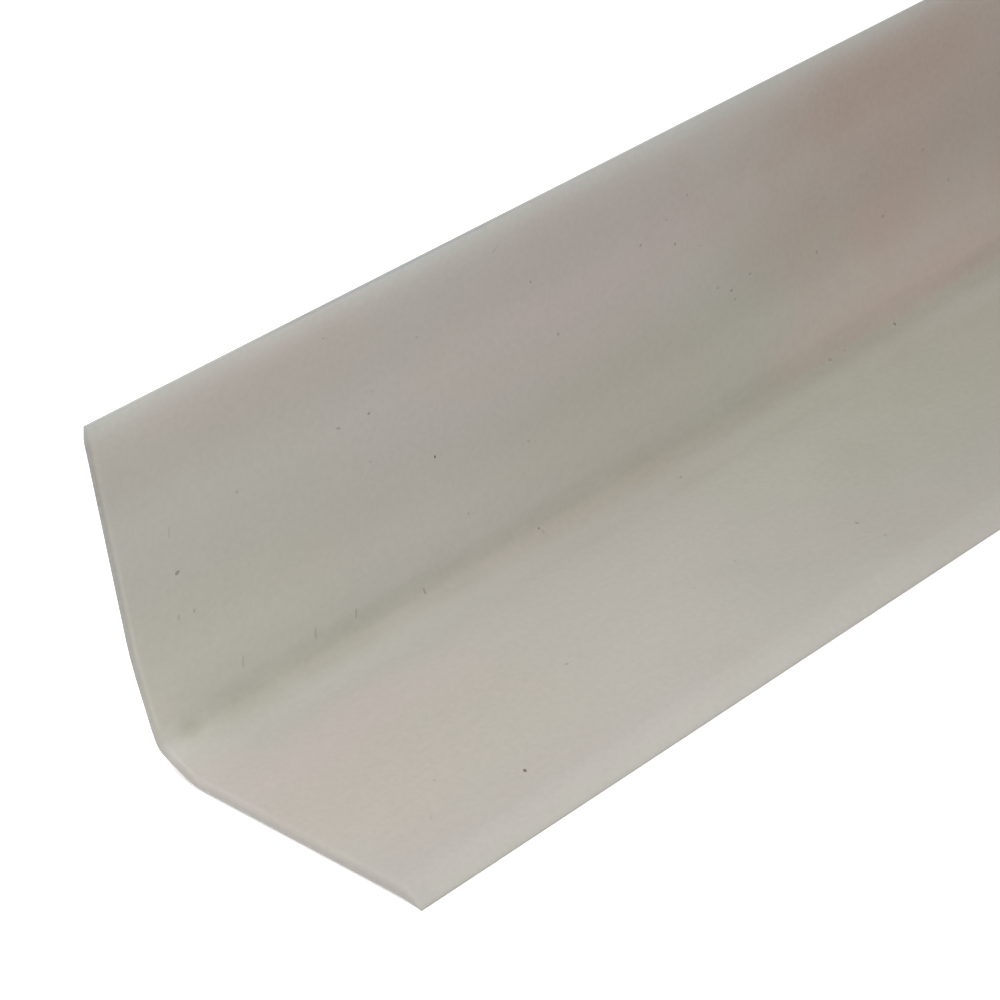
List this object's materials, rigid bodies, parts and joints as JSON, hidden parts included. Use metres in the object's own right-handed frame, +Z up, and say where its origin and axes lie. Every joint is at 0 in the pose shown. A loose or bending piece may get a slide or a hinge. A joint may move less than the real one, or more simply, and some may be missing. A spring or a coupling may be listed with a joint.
{
  "type": "skirting board",
  "caption": "Flexible vinyl skirting board: an L-section strip with a wall leg, a floor leg and a soft rounded heel, tapered to thin edges.",
  "frame": {"origin": "middle of the bounding box's bottom, on the floor half way along the strip", "axes": "+X along the strip, +Y into the wall that the strip is stuck to, +Z up; the toe points along -Y into the room"},
  "size_m": [2.5, 0.0522, 0.05],
  "materials": {
    "vinyl": "matte"
  },
  "bodies": {
    "root": {"skirting_strip": "vinyl"}
  },
  "joints": []
}
